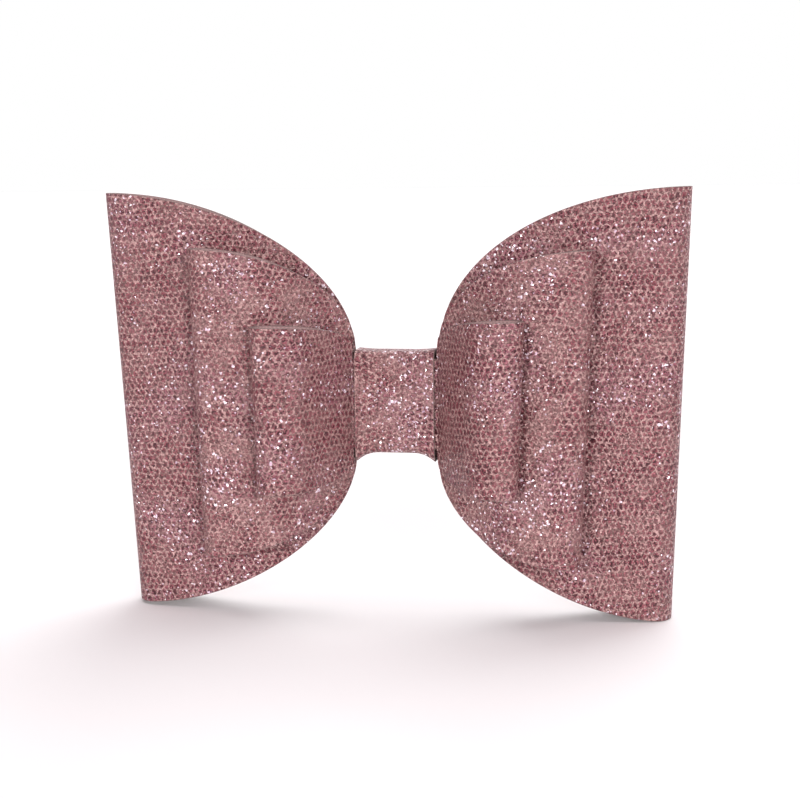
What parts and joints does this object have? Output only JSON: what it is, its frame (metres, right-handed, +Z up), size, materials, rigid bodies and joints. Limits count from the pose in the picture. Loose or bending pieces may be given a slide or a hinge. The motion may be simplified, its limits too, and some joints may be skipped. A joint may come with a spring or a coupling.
{
  "type": "hair bow",
  "caption": "Layered hair bow of folded glitter-sheet loops held by a centre band, on a ribbon-lined spring alligator clip.",
  "frame": {"origin": "middle of the hair gap between the clip's jaws when closed, on the bow's centre line", "axes": "+X along the bow towards the clip's hinge, +Z up across the bow, and the decorated side faces -Y, so +Y points to the head"},
  "size_m": [0.1522, 0.0395, 0.1108],
  "materials": {
    "loop_sheet": "dusty-rose glitter under a pale net",
    "band_sheet": "dusty-rose glitter, denser",
    "glue": "clear hot-melt",
    "clip_steel": "nickel plated",
    "pin_steel": "satin",
    "spring_steel": "drawn wire",
    "ribbon": "ribbed grosgrain"
  },
  "bodies": {
    "bow": {"large_loop": "loop_sheet", "medium_loop": "loop_sheet", "small_loop": "loop_sheet", "centre_band": "band_sheet", "large_loop_glue": "glue", "medium_loop_glue": "glue", "small_loop_glue": "glue", "band_lap_glue": "glue", "clip_glue": "glue", "clip_fixed_plate": "clip_steel", "clip_lining_ribbon": "ribbon", "clip_hinge_pin": "pin_steel", "clip_torsion_spring": "spring_steel"},
    "jaw": {"clip_moving_jaw": "clip_steel"}
  },
  "joints": [
    {"name": "jaw_hinge", "type": "hinge", "parent": "bow", "child": "jaw", "pos_m": [0.0175, -0.0013, 0], "axis": [0, 0, -1], "range_deg": [0, 48], "stiffness_Nm_per_rad": 0.05, "springref_deg": -68.75, "deforming": ["clip_torsion_spring"]}
  ]
}
